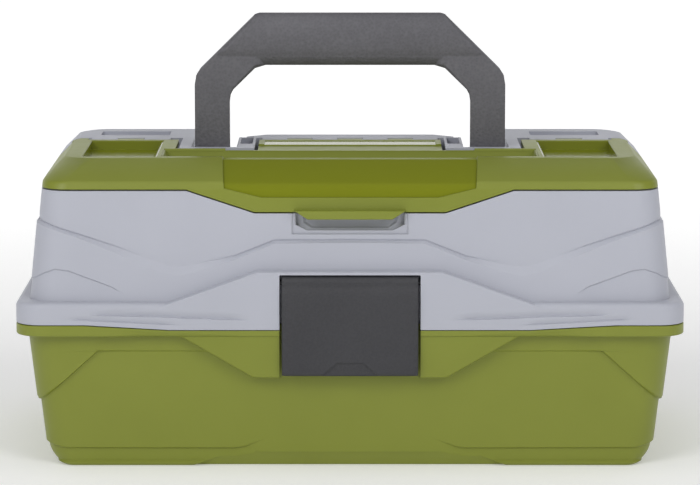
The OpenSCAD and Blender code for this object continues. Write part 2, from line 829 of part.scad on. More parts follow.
module tray() {
    difference() {
        union() {
            difference() {
                union() {
                    loft([ring(tray_x - 3, tray_front + 3, tray_rear - 3, 6, tray_z),
                          ring(tray_x, tray_front, tray_rear, 8, tray_z + 3),
                          ring(tray_x, tray_front, tray_rear, 8, tray_z + tray_h)]);
                }
                tray_row(front_row[0], front_row[1]);
                tray_row(rear_row[0], rear_row[1]);
            }
            divider_slots(front_row[0], front_row[1]);
            divider_slots(rear_row[0], rear_row[1]);
            // pads behind the rivets
            both_sides() for (p = [front_tray_pin, rear_tray_pin])
                rod(p, boss_r, tray_x - tray_wall - 2.6, tray_x - tray_wall / 2);
        }
        both_sides() for (p = [front_tray_pin, rear_tray_pin])
            rod(p, rivet_r + pin_fit, tray_x - tray_wall - 3.6, tray_x + 1);
    }
}

// The tray is one moulding, held as two solids that meet face to face in the middle.
module tray_half(side) {
    color(pale_gray) intersection() {
        tray();
        box([min(0, side * far), max(0, side * far)], [-far, far], [0, far]);
    }
}

module tray_divider(x, row) {
    height = tray_h - tray_wall - 3;
    foot = tray_z + tray_wall + gap;
    y0 = row[0] + gap;
    y1 = row[1] - gap;
    color(pale_gray) side_prism([
        [y0 + 1.5, foot], [y1 - 1.5, foot], [y1, foot + 3], [y1, foot + height], [y1 - 12, foot + height],
        [y1 - 16, foot + height - 4], [y0 + 16, foot + height - 4], [y0 + 12, foot + height],
        [y0, foot + height], [y0, foot + 3]], x - divider_t / 2, x + divider_t / 2);
}

// ---------- arms, links and rivets ----------

// Flat bar with round ends between two pivots, x0 to x1.
module bar(from, to, x0, x1) {
    run = to - from;
    half = arm_r * 0.78;
    translate([x0, from[0], from[1]]) rotate([atan2(run[1], run[0]), 0, 0]) rotate([90, 0, 90])
        linear_extrude(x1 - x0) {
            circle(arm_r);
            translate([norm(run), 0]) circle(arm_r);
            translate([0, -half]) square([norm(run), 2 * half]);
        }
}

// A tray arm turns on a countersunk rivet in the base and on a round-headed one in the tray.
module arm(side, pivot, pin) {
    color(pale_gray) mirror([side < 0 ? 1 : 0, 0, 0]) difference() {
        bar(pivot, pin, arm_x, arm_x + arm_t);
        rod(pivot, rivet_r + pin_fit, arm_x - 1, arm_x + arm_t + 1);
        rod(pivot, rivet_r * 1.7 + gap, arm_x - 1, arm_x + arm_t / 2);
        rod(pin, rivet_r + pin_fit, arm_x - 1, arm_x + arm_t + 1);
    }
}

module lid_link(side) {
    color(steel) mirror([side < 0 ? 1 : 0, 0, 0]) difference() {
        bar(rear_tray_pin, link_pin, link_x, link_x + link_t);
        for (p = [rear_tray_pin, link_pin])
            rod(p, rivet_r + pin_fit, link_x - 1, link_x + link_t + 1);
    }
}

// Base rivets: a flat head let into the arm, and a shank in the base's boss.
module arm_rivets() {
    color(steel) both_sides() for (p = [front_pivot, rear_pivot]) {
        rod(p, rivet_r * 1.7, arm_x + 0.1, arm_x + arm_t / 2 - 0.1);
        rod(p, rivet_r, arm_x + 0.1, link_x + 4.8);
    }
}

// Round-headed rivet along X: its shank from x0 to the head at x1.
module headed_rivet(p, x0, x1) {
    rod(p, rivet_r, x0, x1 + 0.6);
    rod(p, rivet_r * 1.75, x1, x1 + 0.7);
    translate([x1 + 0.7, p[0], p[1]]) rotate([0, 90, 0])
        cylinder(r1 = rivet_r * 1.75, r2 = rivet_r * 1.2, h = 0.6);
}

module front_tray_rivets() {
    color(steel) both_sides()
        headed_rivet(front_tray_pin, tray_x - tray_wall - 2.4, arm_x + arm_t + 0.2);
}

module rear_tray_rivets() {
    color(steel) both_sides()
        headed_rivet(rear_tray_pin, tray_x - tray_wall - 2.4, link_x + link_t + 0.2);
}

module link_rivets() {
    color(steel) both_sides() translate([2 * link_x, 0, 0]) mirror([1, 0, 0])
        headed_rivet(link_pin, link_x - 4.8 - link_t - 2 * gap, link_x + 0.2);
}

base_shell();
lid_shell();
lid_compartment();
lid_deck();
top_cover();
cover_tongue();
handle();
latch();
tray_half(-1);  // tray_left_half
tray_half(1);  // tray_right_half
arm(-1, front_pivot, front_tray_pin);  // front_arm_left
arm(1, front_pivot, front_tray_pin);  // front_arm_right
arm(-1, rear_pivot, rear_tray_pin);  // rear_arm_left
arm(1, rear_pivot, rear_tray_pin);  // rear_arm_right
lid_link(-1);  // lid_link_left
lid_link(1);  // lid_link_right
lid_hinge_pins();
cover_hinge_rods();
handle_pin(-1);  // handle_pin_left
handle_pin(1);  // handle_pin_right
latch_pin();
arm_rivets();
front_tray_rivets();
rear_tray_rivets();
link_rivets();
tray_divider(front_dividers[0], front_row);  // tray_divider_1
tray_divider(front_dividers[1], front_row);  // tray_divider_2
tray_divider(rear_dividers[0], rear_row);  // tray_divider_3
tray_divider(rear_dividers[1], rear_row);  // tray_divider_4
tray_divider(rear_dividers[2], rear_row);  // tray_divider_5
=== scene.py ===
import json
import math
import bmesh
import bpy
from mathutils import Matrix, Vector


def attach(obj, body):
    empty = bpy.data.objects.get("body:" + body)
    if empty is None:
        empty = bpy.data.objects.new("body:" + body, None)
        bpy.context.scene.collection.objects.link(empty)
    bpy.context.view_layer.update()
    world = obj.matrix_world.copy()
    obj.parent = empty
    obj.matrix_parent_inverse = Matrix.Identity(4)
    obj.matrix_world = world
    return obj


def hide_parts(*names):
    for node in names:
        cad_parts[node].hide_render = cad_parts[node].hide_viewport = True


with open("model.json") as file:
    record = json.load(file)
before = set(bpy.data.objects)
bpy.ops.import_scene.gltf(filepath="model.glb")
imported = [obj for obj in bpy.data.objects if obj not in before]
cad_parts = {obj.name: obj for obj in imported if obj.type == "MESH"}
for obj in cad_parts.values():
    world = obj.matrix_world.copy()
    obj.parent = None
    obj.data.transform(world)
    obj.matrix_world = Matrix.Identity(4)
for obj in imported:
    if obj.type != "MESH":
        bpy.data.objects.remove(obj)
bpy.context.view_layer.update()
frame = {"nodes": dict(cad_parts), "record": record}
bodyOf = {n: b for b, names in frame["record"]["behaviour"]["bodies"].items() for n in names}
mm = 0.001
print("frame loaded:", len(frame["nodes"]), "nodes")


view = {"distance": 1.8, "elevation": 8.6, "aim": (0, 0, 0.1048), "lens": 172.47}


def makeCamera():
    tilt = math.radians(view["elevation"])
    back = Vector((0, -math.cos(tilt), math.sin(tilt)))
    data = bpy.data.cameras.new("camera")
    data.lens = view["lens"]
    data.sensor_width = 36
    data.clip_start = 0.05
    data.clip_end = 60
    camera = bpy.data.objects.new("camera", data)
    camera.location = Vector(view["aim"]) + back * view["distance"]
    camera.rotation_euler = (-back).to_track_quat("-Z", "Y").to_euler()
    bpy.context.scene.collection.objects.link(camera)
    bpy.context.scene.camera = camera


# place, aim, width and height of each panel in metres, watts
studioLights = {
    "leftBox": {"at": (-1.3, -1.9, 1.5), "aim": (0, 0, 0.1), "size": (1.1, 1.2), "power": 19.8},
    "rightBox": {"at": (1.3, -1.9, 1.5), "aim": (0, 0, 0.1), "size": (1.1, 1.2), "power": 16.7},
    "topBox": {"at": (0, -0.5, 2.2), "aim": (0, 0, 0.1), "size": (1.6, 1.6), "power": 6},
}
worldLight = 0.34


def makeLights():
    for name, s in studioLights.items():
        data = bpy.data.lights.new(name, "AREA")
        data.shape = "RECTANGLE"
        data.size, data.size_y = s["size"]
        data.energy = s["power"]
        light = bpy.data.objects.new(name, data)
        light.location = s["at"]
        light.rotation_euler = (Vector(s["aim"]) - Vector(s["at"])).to_track_quat("-Z", "Y").to_euler()
        bpy.context.scene.collection.objects.link(light)
    world = bpy.data.worlds.new("studio")
    world.use_nodes = True
    sky = world.node_tree.nodes["Background"]
    sky.inputs["Color"].default_value = (1, 1, 1, 1)
    sky.inputs["Strength"].default_value = worldLight
    bpy.context.scene.world = world
    bpy.context.scene.view_settings.view_transform = "Standard"


def linear(rgb):  # colour of 0 to 255 as Blender's linear values
    def channel(c):
        c /= 255
        return c / 12.92 if c < 0.04045 else ((c + 0.055) / 1.055) ** 2.4
    return tuple(channel(c) for c in rgb) + (1,)


class Wire:  # an output socket on which sums and products are written as in Python
    def __init__(self, surface, socket):
        self.surface = surface
        self.socket = socket

    def maths(self, operation, first, second):
        return self.surface.node("Math", {"operation": operation}, {0: first, 1: second})

    def __add__(self, other):
        return self.maths("ADD", self, other)

    def __radd__(self, other):
        return self.maths("ADD", other, self)

    def __mul__(self, other):
        return self.maths("MULTIPLY", self, other)

    def __rmul__(self, other):
        return self.maths("MULTIPLY", other, self)


class Surface:  # a material and its nodes
    def __init__(self, name):
        self.material = bpy.data.materials.new(name)
        self.material.use_nodes = True
        self.tree = self.material.node_tree
        self.shader = self.tree.nodes["Principled BSDF"]
        self.place = self.node("TexCoord", {}, {}, "Object")

    def node(self, kind, settings, values, output=0):
        made = self.tree.nodes.new("ShaderNode" + kind)
        for key, value in settings.items():
            if key == "stops":
                ramp = made.color_ramp.elements
                while len(ramp) < len(value):
                    ramp.new(0.5)
                for stop, (position, colour) in zip(ramp, value):
                    stop.position = position
                    stop.color = colour
            else:
                setattr(made, key, value)
        for key, value in values.items():
            self.plug(made.inputs[key], value)
        return Wire(self, made.outputs[output])

    def plug(self, socket, value):
        if isinstance(value, Wire):
            self.tree.links.new(value.socket, socket)
        else:
            socket.default_value = value

    def noise(self, size, detail=2, roughness=0.5, place=None):  # size of one blotch in mm
        return self.node("TexNoise", {}, {"Vector": place or self.place, "Scale": 1000 / size,
                                          "Detail": detail, "Roughness": roughness}, "Fac")

    def mix(self, share, first, second):
        return self.node("Mix", {"data_type": "RGBA"}, {0: share, 6: first, 7: second}, 2)

    def edges(self, radius):  # shading normal rounded over radius mm at the edges
        return self.node("Bevel", {"samples": 4}, {"Radius": radius * mm})

    def finish(self, **values):
        for key, value in values.items():
            self.plug(self.shader.inputs[key.replace("_", " ")], value)
        return self.material


def mouldedPlastic(name, look):
    s = Surface(name)
    cloud = s.noise(38, 2)
    speck = s.noise(0.55, 3, 0.6)
    sheen = s.noise(9, 3)
    colour = s.mix(cloud * 0.7 + speck * 0.3, linear(look["dark"]), linear(look["light"]))
    grain = speck * 0.7 + s.noise(2.6, 2) * 0.5
    texture = s.node("Bump", {}, {"Strength": look["bump"], "Distance": 0.00006, "Height": grain,
                                  "Normal": s.edges(0.35)}, "Normal")
    return s.finish(Base_Color=colour, Roughness=sheen * 0.1 + (look["rough"] - 0.05) + speck * 0.04,
                    Normal=texture, IOR=1.49, Specular_IOR_Level=look.get("shine", 0.5))


def pebbledPlastic(name, look):
    s = Surface(name)
    cloud = s.noise(30, 2)
    pebble = s.node("TexVoronoi", {"feature": "SMOOTH_F1"},
                    {"Vector": s.place, "Scale": 1000 / look["pebble"], "Smoothness": 0.6}, "Distance")
    fine = s.noise(0.35, 3, 0.6)
    colour = s.mix(cloud * 0.5 + pebble * 0.5, linear(look["dark"]), linear(look["light"]))
    texture = s.node("Bump", {"invert": True},
                     {"Strength": look["bump"], "Distance": 0.00022, "Height": pebble + fine * 0.35,
                      "Normal": s.edges(1.1)}, "Normal")
    return s.finish(Base_Color=colour, Roughness=pebble * 0.16 + (look["rough"] - 0.06),
                    Normal=texture, IOR=1.49)


def platedSteel(name, dark, light):
    s = Surface(name)
    draw = s.node("Mapping", {}, {"Vector": s.place, "Scale": (40, 900, 900)})
    lines = s.noise(1, 3, 0.6, draw)
    colour = s.mix(lines, linear(dark), linear(light))
    texture = s.node("Bump", {}, {"Strength": 0.15, "Distance": 0.00005, "Height": lines}, "Normal")
    return s.finish(Base_Color=colour, Metallic=1.0, Roughness=lines * 0.16 + 0.24, Normal=texture)


paleColour = (238, 238, 238)
glowWithShadeNearBox = [(0.13, 0.34), (0.55, 1)]  # share of 2 m from the box, share of the glow; the dimmer glow near the box is painted shade round its foot


# pale sheet that glows, less near the middle of the box; on the floor that is painted shade round the box's
# foot
def paleFinish(name, glow):
    s = Surface(name)
    away = s.node("VectorMath", {"operation": "LENGTH"}, {0: s.place}, "Value")
    stops = [(place, (tone, tone, tone, 1)) for place, tone in glowWithShadeNearBox]
    tone = s.node("ValToRGB", {"stops": stops}, {"Fac": away * 0.5})
    return s.finish(Base_Color=linear(paleColour), Roughness=0.9, Emission_Color=tone,
                    Emission_Strength=glow)


# colours from 0 to 255, roughness and strength of the grain; gloss for polished fields, satin for the scoop
finishes = {
    "green_shell": mouldedPlastic("greenPlastic", {
        "dark": (120, 128, 36), "light": (130, 138, 46), "rough": 0.4, "bump": 0.35}),
    "greenGloss": mouldedPlastic("greenGloss", {
        "dark": (112, 119, 12), "light": (116, 123, 16), "rough": 0.16, "bump": 0.06}),
    "greenSatin": mouldedPlastic("greenSatin", {
        "dark": (116, 122, 20), "light": (121, 128, 26), "rough": 0.34, "bump": 0.1, "shine": 0.12}),
    "gray_shell": mouldedPlastic("grayPlastic", {
        "dark": (174, 176, 186), "light": (182, 184, 194), "rough": 0.45, "bump": 0.35, "shine": 0.25}),
    "dark_plastic": pebbledPlastic("charcoalPlastic", {
        "dark": (74, 73, 78), "light": (106, 105, 110), "rough": 0.5, "bump": 0.75, "pebble": 1.3}),
    "latchPlastic": pebbledPlastic("latchPlastic", {
        "dark": (40, 40, 44), "light": (62, 62, 66), "rough": 0.5, "bump": 0.75, "pebble": 1.1}),
    "tray_plastic": mouldedPlastic("trayPlastic", {
        "dark": (160, 163, 170), "light": (174, 177, 184), "rough": 0.38, "bump": 0.3}),
    "steel": platedSteel("platedSteel", (176, 178, 180), (212, 213, 214)),
    # steel darkened for the latch pin, so the pin in the gap beside the latch reads as that gap's shade:
    # painted shade
    "darkSteel": platedSteel("darkSteel", (44, 44, 46), (62, 62, 64)),
}
makeCamera()
makeLights()
print("camera, lights and", len(finishes), "finishes made")


# lowest and highest corner in metres, glow
studioSheets = {
    "floor": {"low": (-12, -12, -0.0002), "high": (12, 12, -0.0002), "glow": 0.62},
    "backdrop": {"low": (-12, 8, 0.3), "high": (12, 8, 4), "glow": 0.55},
}


def makeStudio():
    for name, s in studioSheets.items():
        bm = bmesh.new()
        bmesh.ops.create_grid(bm, x_segments=4, y_segments=4, size=1)
        if s["high"][2] > s["low"][2]:
            bmesh.ops.rotate(bm, cent=(0, 0, 0), matrix=Matrix.Rotation(math.pi / 2, 3, "X"), verts=bm.verts)
        half = [max((h - l) / 2, 1e-6) for l, h in zip(s["low"], s["high"])]
        bmesh.ops.scale(bm, vec=half, verts=bm.verts)
        bmesh.ops.translate(bm, vec=[(h + l) / 2 for l, h in zip(s["low"], s["high"])], verts=bm.verts)
        mesh = bpy.data.meshes.new(name)
        bm.to_mesh(mesh)
        bm.free()
        mesh.materials.append(paleFinish(name + "Paint", s["glow"]))
        made = bpy.data.objects.new(name, mesh)
        bpy.context.scene.collection.objects.link(made)


makeStudio()

slotOf = {p["node"]: p["material_slot"] for p in frame["record"]["subparts"]}
for name, node in frame["nodes"].items():
    node.data.materials.clear()
    # the latch pin gets the darkened steel, painted shade for the gap beside the latch
    node.data.materials.append(finishes["darkSteel" if name == "latch_pin" else slotOf[name]])


def block(x, y, z):
    bm = bmesh.new()
    bmesh.ops.create_cube(bm, size=1)
    bmesh.ops.scale(bm, vec=(x[1] - x[0], y[1] - y[0], z[1] - z[0]), verts=bm.verts)
    bmesh.ops.translate(bm, vec=((x[0] + x[1]) / 2, (y[0] + y[1]) / 2, (z[0] + z[1]) / 2), verts=bm.verts)
    return bm


def rounded(bm, edges, radius, segments=3):
    bmesh.ops.bevel(bm, geom=edges, offset=radius, segments=segments, profile=0.5, affect="EDGES",
                    material=-1)


def softBlock(x, y, z, radius=0.8, upright=0):  # block with rounded edges, the upright ones by more
    bm = block(x, y, z)
    if upright:
        rounded(bm, [e for e in bm.edges if abs(e.verts[0].co.z - e.verts[1].co.z) > 1e-4], upright, 6)
    if radius:
        rounded(bm, [e for e in bm.edges if e.calc_face_angle(0) > 0.6], radius)
    return bm


def rod(at, radius, x0, x1, sides=40):  # round bar along X at [y, z]
    bm = bmesh.new()
    bmesh.ops.create_cone(bm, cap_ends=True, segments=sides, radius1=radius, radius2=radius, depth=x1 - x0)
    bmesh.ops.rotate(bm, cent=(0, 0, 0), matrix=Matrix.Rotation(math.pi / 2, 3, "Y"), verts=bm.verts)
    bmesh.ops.translate(bm, vec=((x0 + x1) / 2, at[0], at[1]), verts=bm.verts)
    return bm


def wedgeBlock(corners):  # right half of its corners: front low, front high, rear low, rear high
    bm = bmesh.new()
    bmesh.ops.create_cube(bm, size=2)
    for v in bm.verts:
        x, y, z = corners[2 * (v.co.y > 0) + (v.co.z > 0)]
        v.co = (x if v.co.x > 0 else -x, y, z)
    return bm


def wedge(low, high, front, rear):  # half width and height of its foot and top, the same front to rear
    return wedgeBlock([(x, y, z) for y in (front, rear) for x, z in (low, high)])


def grow(bm, face, ring):  # extrudes the face and returns the new one with its ring in the old order
    grown = bmesh.ops.extrude_face_region(bm, geom=[face])["geom"]
    top = next(f for f in grown if isinstance(f, bmesh.types.BMFace))
    fresh = set(top.verts)
    return top, [next(e.other_vert(v) for e in v.link_edges if e.other_vert(v) in fresh) for v in ring]


def drawnBlock(front, frontY, rear, rearY):  # right halves of its front and rear outlines as [x, z], mirrored
    bm = bmesh.new()
    ring = [bm.verts.new((x, frontY, z)) for x, z in front + [(-x, z) for x, z in reversed(front)]]
    ring = grow(bm, bm.faces.new(ring), ring)[1]
    for v, (x, z) in zip(ring, rear + [(-x, z) for x, z in reversed(rear)]):
        v.co = (x, rearY, z)
    bmesh.ops.recalc_face_normals(bm, faces=bm.faces)
    return bm


def onRing(quarter, share, level):  # point of a rounded rectangle, share 0 to 1 through one corner
    z, halfX, front, rear, radius = level
    angle = math.radians(90 * (quarter + share))
    x = (halfX - radius) * (1 if quarter in (0, 3) else -1)
    y = rear - radius if quarter < 2 else front + radius
    return x + radius * math.cos(angle), y + radius * math.sin(angle), z


# solid through rounded rectangles, each with its height, half width, front, rear and corner radius
def ringStack(levels, corner=9):
    bm = bmesh.new()
    ring = bmesh.ops.create_circle(bm, cap_ends=True, radius=1, segments=4 * corner)["verts"]
    end = next(iter(bm.faces))
    for number, level in enumerate(levels):
        if number:
            last = end
            end, ring = grow(bm, end, ring)
            if number > 1:
                bmesh.ops.delete(bm, geom=[last], context="FACES_ONLY")
        for k, v in enumerate(ring):
            quarter, step = divmod(k, corner)
            v.co = onRing(quarter, step / (corner - 1), level)
    bmesh.ops.recalc_face_normals(bm, faces=bm.faces)
    return bm


def prism(points, x0, x1):  # outline of [y, z] points drawn out along X
    bm = bmesh.new()
    ring = [bm.verts.new((x0, y, z)) for y, z in points]
    ring = grow(bm, bm.faces.new(ring), ring)[1]
    bmesh.ops.translate(bm, vec=(x1 - x0, 0, 0), verts=ring)
    bmesh.ops.recalc_face_normals(bm, faces=bm.faces)
    return bm


def steps(low, high, count):  # from low to high in count equal steps
    return [low + (high - low) * k / count for k in range(count + 1)]


def arc(first, last, step=10):  # cosine and sine of the angles from first to last, in degrees
    return [(math.cos(math.radians(d)), math.sin(math.radians(d))) for d in range(first, last + 1, step)]


def longRuns(bm):  # splits the long straight runs at the front and the rear into columns
    runs = [e for e in bm.edges if abs(e.verts[0].co.x - e.verts[1].co.x) > rims["halfX"] / 2]
    bmesh.ops.subdivide_edges(bm, edges=runs, cuts=rims["columns"], use_grid_fill=True)


def lifted(points, lift):  # the same line, higher
    return [(x, z + lift) for x, z in points]


# cuts the front and rear walls along a line of [x, z] points, on both sides; reach beyond it in mm
def foldLine(bm, points, reach=4):
    for side in (1, -1):
        for p, q in zip(points, points[1:]):
            low = (min(p[0], q[0]) - reach, min(p[1], q[1]) - reach)
            high = (max(p[0], q[0]) + reach, max(p[1], q[1]) + reach)
            faces = []
            for f in bm.faces:
                c = f.calc_center_median()
                if low[0] < c.x * side < high[0] and low[1] < c.z < high[1] and abs(c.y) > 60:
                    faces.append(f)
            parts = set(faces)
            for f in faces:
                parts.update(f.edges)
                parts.update(f.verts)
            bmesh.ops.bisect_plane(bm, geom=list(parts), dist=1e-5, plane_co=(p[0] * side, 0, p[1]),
                                   plane_no=(q[1] - p[1], 0, (p[0] - q[0]) * side))


def along(points, x, soft=0):  # height of a line of [x, z] points at x, its corners rounded by soft
    if soft:
        return sum(along(points, x + soft * k / 3) for k in (-3, -2, -1, 0, 1, 2, 3)) / 7
    for p, q in zip(points, points[1:]):
        if q[0] <= x <= p[0]:
            return q[1] + (p[1] - q[1]) * (x - q[0]) / max(p[0] - q[0], 1e-6)
    return points[0][1] if x > points[0][0] else points[-1][1]


def clamp(share):
    return min(1, max(0, share))


def ease(low, high, x):  # 0 below low, 1 above high, smooth between; falls where low is the higher one
    t = clamp((x - low) / (high - low))
    return t * t * (3 - 2 * t)


def between(ends, x):  # 1 between two ends, each given as the span over which it fades
    return ease(*ends[0], x) * ease(*ends[1], x)


# moves the outer wall in or out by height(x, y, z); wall gives half width, half depth and corner radius
def relief(bm, wall, height, zLow, zHigh):
    for v in bm.verts:
        if zLow < v.co.z < zHigh:
            halfX, halfY, radius = wall(v.co.z)
            x, y = v.co.x, v.co.y
            across = Vector((x - min(halfX - radius, max(radius - halfX, x)),
                             y - min(halfY - radius, max(radius - halfY, y))))
            if across.length > radius * 0.5:
                v.co.xy += across.normalized() * height(abs(x), y, v.co.z)


def asObject(bm, name):
    mesh = bpy.data.meshes.new(name)
    bm.to_mesh(mesh)
    bm.free()
    made = bpy.data.objects.new(name, mesh)
    bpy.context.scene.collection.objects.link(made)
    return made


def combine(first, how, *tools):  # first joined with, cut by or kept inside each tool
    made = [asObject(first, "work")] + [asObject(t, "tool") for t in tools]
    for tool in made[1:]:
        step = made[0].modifiers.new("step", "BOOLEAN")
        step.operation = how
        step.solver = "MANIFOLD"
        step.object = tool
    graph = bpy.context.evaluated_depsgraph_get()
    mesh = bpy.data.meshes.new_from_object(made[0].evaluated_get(graph))
    bm = bmesh.new()
    bm.from_mesh(mesh)
    for o in made:
        data = o.data
        bpy.data.objects.remove(o)
        bpy.data.meshes.remove(data)
    bpy.data.meshes.remove(mesh)
    return bm


def join(first, *tools):
    return combine(first, "UNION", *tools)


def cut(first, *tools):
    return combine(first, "DIFFERENCE", *tools)


def keep(first, tool):
    return combine(first, "INTERSECT", tool)


def whole(bm):  # all its parts, as an operator takes them
    return list(bm.verts) + list(bm.edges) + list(bm.faces)


def bothSides(bm):  # the piece and its mirror image
    copy = bmesh.ops.duplicate(bm, geom=whole(bm))["geom"]
    faces = [f for f in copy if isinstance(f, bmesh.types.BMFace)]
    bmesh.ops.scale(bm, vec=(-1, 1, 1), verts=[v for v in copy if isinstance(v, bmesh.types.BMVert)])
    bmesh.ops.reverse_faces(bm, faces=faces)
    return bm


def cadCopy(name):  # the solid of the part's source, in mm
    bm = bmesh.new()
    bm.from_mesh(frame["nodes"][name].data)
    bmesh.ops.scale(bm, vec=(1000, 1000, 1000), verts=bm.verts)
    bmesh.ops.remove_doubles(bm, verts=bm.verts, dist=2e-4)
    return bm


finest = 0.02  # shorter edges are welded, and the direction of narrower faces is unsure
sharpFrom = math.radians(32)


def piece(bm, name, nodes, finish=None):  # a finished piece that stands for the nodes
    node = nodes[0]
    bmesh.ops.remove_doubles(bm, verts=bm.verts, dist=finest)
    bmesh.ops.dissolve_degenerate(bm, edges=bm.edges, dist=finest)
    for e in bm.edges:
        e.smooth = e.calc_face_angle(4) < sharpFrom
    for f in bm.faces:
        f.smooth = True
        if f.calc_area() < finest * max(e.calc_length() for e in f.edges):
            for e in f.edges:
                e.smooth = False
    bmesh.ops.scale(bm, vec=(mm, mm, mm), verts=bm.verts)
    made = asObject(bm, name)
    normals = made.modifiers.new("flatFaces", "WEIGHTED_NORMAL")
    normals.keep_sharp = True
    made.data.materials.append(finishes[finish or slotOf[node]])
    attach(made, bodyOf[node])
    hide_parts(*nodes)
    print("piece", name, len(made.data.polygons), "faces")
    return made


# what base and lid share: the outline of the rims, columns in the long walls, room for the rear knuckles
rims = {"halfX": 171.5, "halfY": 95, "corner": 14, "columns": 100, "hingeX": (49, 131), "hingeY": (86.5, 102)}
aside, ahead, behind = (-200, 200), -120, 120  # beyond the box at the sides, the front and the rear


def rimWall(z):
    return rims["halfX"], rims["halfY"], rims["corner"]


def rimLevel(z, inset, tighter=0):  # tighter takes from the corner radius
    return z, rims["halfX"] - inset, inset - rims["halfY"], rims["halfY"] - inset, rims["corner"] - tighter


def hingeRoom(z):
    return bothSides(block(rims["hingeX"], rims["hingeY"], z))


# an end is the span of x over which a relief comes in; rows are height, inset and less corner radius
base = {
    "top": 76, "rim": 5.5, "rimOut": 5.5, "lean": 0.105, "bottomRadius": 10.5, "frontShare": 0.2,
    "wallRows": (11, 72, 27), "wallRelief": (2, 70.2), "soft": 0.4, "finestLift": 0.1,
    "thick": 1.9, "thickInside": 1.5, "roomRows": (40, 77), "hingeZ": (60, 82),
    "panelOut": 1.8, "panelMiddle": 0.45, "panelEnd": (118, 132),
    "ledgeOut": 0.5, "ledge": (61.4, 62.3), "ledgeStart": 129, "ledgeEnd": (147, 137),
    "footDrop": 1.4, "footEnd": (42, 58),
    "rimRows": [(70.3, 0.9, 0.6), (70.5, 0.35, 0.2)] + [(z, 0) for z in steps(71, 75.5, 8)]
    + [(75.8, 0.1), (76, 0.35)],
    "rimRelief": (70.2, 75.7), "wedgeSlope": 0.5, "wedgeEnds": [(56, 62), (124, 104)],
    "apron": [(49.4, -92.07, 48.6), (95.2, -94.75, 75.4), (50.6, -84, 47.4), (97, -84, 75.4)],
    "apronFold": 59, "apronBack": 1.5, "apronEdge": 0.9, "apronUnder": 75,
    "slot": ((-36, 36), (-120, -89.5), (44, 90), 0.6),
    "chamfer": [(84, -200, -1), (60, -200, 7.5), (84, -75.38, -1), (60, -80.65, 7.5)],
    "dip": ((92, 73.6), (140, 76.15), -120, -88.4),
    "catch": ((-20, 20), (-93, -86), (64, 71)),
}
panelLine = [(200, 34), (159.5, 34.4), (129.4, 61.8), (120, 61.8), (0, 61.5)]
footLine = [(200, 11.6), (157, 11.3), (148, 9.8), (60, 9.6), (55, 10.2), (43, 15), (0, 15)]
baseFolds = [panelLine[1:] + [(60, 61.65)], [(150, 61.8), (130, 61.8)], footLine[1:]]
rimFold = [(122, 74.6), (100, 73.3), (58, 71)]


def baseWall(z, inset=0):  # half width, half depth and corner radius of the wall between the corner panels
    out = base["rimOut"] + base["lean"] * (base["top"] - base["rim"] - z) + base["panelOut"] + inset
    return rims["halfX"] - out, rims["halfY"] - out, rims["corner"] - inset


def baseLevel(z, inset=0, curve=0, frontShare=1):  # curve: how far the foot has rounded in
    halfX, halfY, radius = baseWall(z, inset)
    return z, halfX - curve, curve * frontShare - halfY, halfY - curve, radius - curve


def baseHeight(x, y, z):
    soft = base["soft"]
    line = along(panelLine, x, soft)
    share = base["panelMiddle"] + (1 - base["panelMiddle"]) * ease(*base["panelEnd"], x)
    out = base["panelOut"] * share * ease(line - soft, line + soft, z)
    if x > base["ledgeStart"]:
        out += base["ledgeOut"] * ease(*base["ledge"], z) * ease(*base["ledgeEnd"], x)
    foot = along(footLine, x, 2 * soft)
    return out - base["footDrop"] * ease(foot + soft, foot - soft, z) * ease(*base["footEnd"], x)


def rimHeight(x, y, z):
    if y > 0:
        return 0
    return -base["wedgeSlope"] * max(0, along(rimFold, x) - z) * between(base["wedgeEnds"], x)


def makeBase():
    r = base["bottomRadius"]
    curve = [(r * (1 - c), r * (1 - s)) for c, s in arc(0, 90)]
    skin = ringStack([baseLevel(z, 0, i, base["frontShare"]) for z, i in curve]
                     + [baseLevel(z) for z in steps(*base["wallRows"])], 10)
    longRuns(skin)
    for lift in (-base["soft"], -base["finestLift"], base["finestLift"], base["soft"]):
        for line in baseFolds:
            foldLine(skin, lifted(line, lift))
    relief(skin, baseWall, baseHeight, *base["wallRelief"])
    rim = ringStack([rimLevel(*row) for row in base["rimRows"]], 10)
    longRuns(rim)
    foldLine(rim, rimFold, 2)
    relief(rim, rimWall, rimHeight, *base["rimRelief"])
    apron = wedgeBlock(base["apron"])
    for x in (base["apronFold"], -base["apronFold"]):
        bmesh.ops.bisect_plane(apron, geom=whole(apron), plane_co=(x, 0, 0), plane_no=(1, 0, 0))
    for v in apron.verts:
        if abs(v.co.x) > base["apronFold"] + 1 and v.co.y < base["apron"][2][1] - 1:
            v.co.y += base["apronBack"]
    lower = [e for e in apron.edges if min(v.co.z for v in e.verts) < base["apronUnder"]]
    rounded(apron, [e for e in lower if e.calc_face_angle(0) > 0.5], base["apronEdge"])

    def room(t):
        return ringStack([baseLevel(z + t, t, i) for z, i in curve]
                         + [baseLevel(z, t) for z in base["roomRows"]], 10)
    outer = cut(join(skin, rim, apron), room(base["thick"]), hingeRoom(base["hingeZ"]))
    inner = keep(cadCopy("base_shell"), join(room(base["thickInside"]), hingeRoom(base["hingeZ"])))
    shell = cut(join(outer, inner), softBlock(*base["slot"]), wedgeBlock(base["chamfer"]),
                wedge(*base["dip"]))
    catch = keep(cadCopy("base_shell"), block(*base["catch"]))
    piece(join(shell, catch), "baseShell", ["base_shell"])


